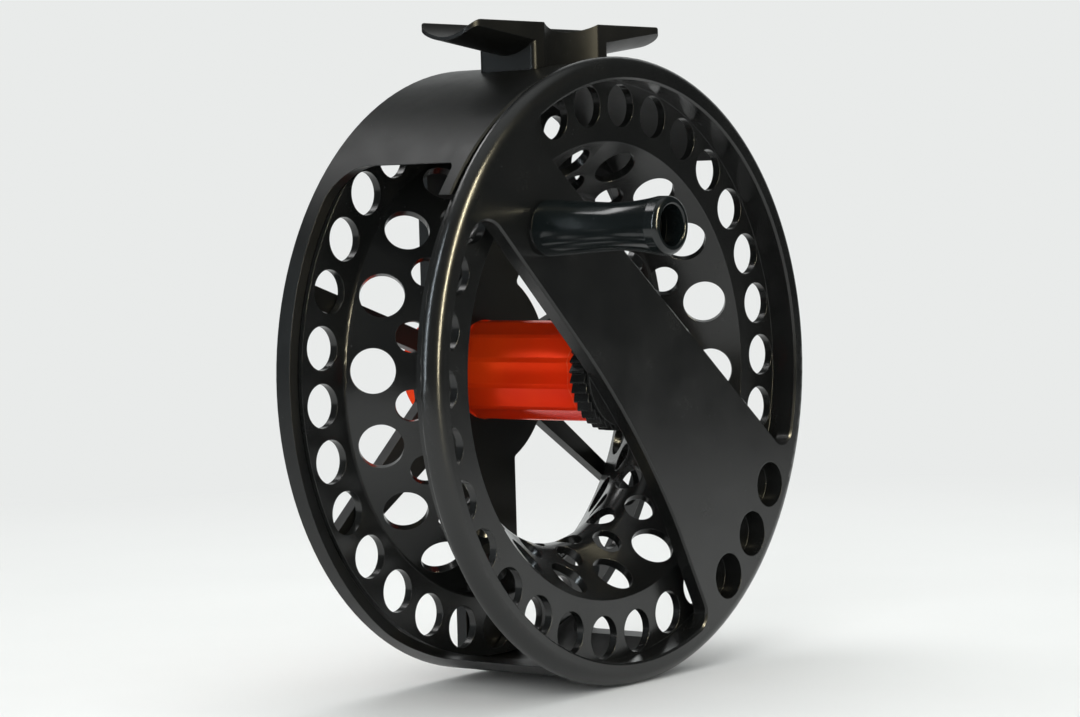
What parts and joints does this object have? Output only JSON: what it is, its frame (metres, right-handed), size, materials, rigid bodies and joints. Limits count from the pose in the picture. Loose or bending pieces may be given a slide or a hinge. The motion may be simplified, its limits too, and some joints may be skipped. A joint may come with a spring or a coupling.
{
  "type": "fly reel",
  "caption": "Large-arbor fly fishing reel: caged frame with a rod foot, a vented lift-off spool with a crank handle, and a sealed cone drag set by a rear knob.",
  "frame": {"origin": "on the rod side of the foot: the lowest line of its curved saddle, midway along and across it", "axes": "+Z from the reel up to the rod, +X along the rod seat, +Y along the spindle from the handle side to the drag knob side"},
  "size_m": [0.11, 0.0731, 0.1163],
  "materials": {
    "black_anodised": "satin anodised",
    "black_handle": "polished, anodised",
    "orange_anodised": "bright anodised",
    "aluminium_plain": "turned",
    "steel": "bright",
    "black_screw": "black oxide",
    "brass": "turned",
    "rubber": "matt",
    "polymer": "matt"
  },
  "bodies": {
    "frame": {"frame": "black_anodised", "reel_foot": "black_anodised", "foot_screws": "steel", "drag_housing": "orange_anodised", "housing_cap": "orange_anodised", "housing_screws": "steel", "housing_seal": "rubber", "front_bearing": "steel", "rear_bearing": "steel", "bearing_spacer": "aluminium_plain", "guide_pins": "steel"},
    "rotor": {"drive_hub": "black_anodised", "spindle": "steel", "one_way_clutch": "steel", "drag_cone": "polymer", "retaining_clip": "steel", "spool_retainer": "steel"},
    "spool": {"spool": "black_anodised", "spool_bushing": "brass", "handle_post": "steel", "handle_screw": "black_screw", "handle_washer": "steel"},
    "handle": {"handle_grip": "black_handle", "handle_bushings": "brass"},
    "pressure_set": {"drag_cup": "aluminium_plain", "drag_spring": "steel", "pressure_nut": "brass"},
    "knob": {"drag_knob": "orange_anodised", "adjuster_stud": "steel", "knob_screw": "steel", "knob_seal": "rubber", "detent_ball": "steel", "detent_spring": "steel"}
  },
  "joints": [
    {"name": "spool_spin", "type": "hinge", "parent": "frame", "child": "rotor", "pos_m": [0, 0, -0.0586], "axis": [0, 1, 0], "continuous": true},
    {"name": "spool_release", "type": "slide", "parent": "rotor", "child": "spool", "axis": [0, -1, 0], "range_m": [0, 0.045]},
    {"name": "handle_spin", "type": "hinge", "parent": "spool", "child": "handle", "pos_m": [-0.0246, 0, -0.033], "axis": [0, 1, 0], "continuous": true},
    {"name": "drag_knob_turn", "type": "hinge", "parent": "frame", "child": "knob", "pos_m": [0, 0, -0.0586], "axis": [0, 1, 0], "range_deg": [0, 300]},
    {"name": "drag_pressure", "type": "slide", "parent": "frame", "child": "pressure_set", "axis": [0, -1, 0], "range_m": [0, 0.0005]}
  ],
  "couplings": [
    {"joint": "drag_pressure", "follows": "drag_knob_turn", "m_per_rad": 0.00009549}
  ]
}
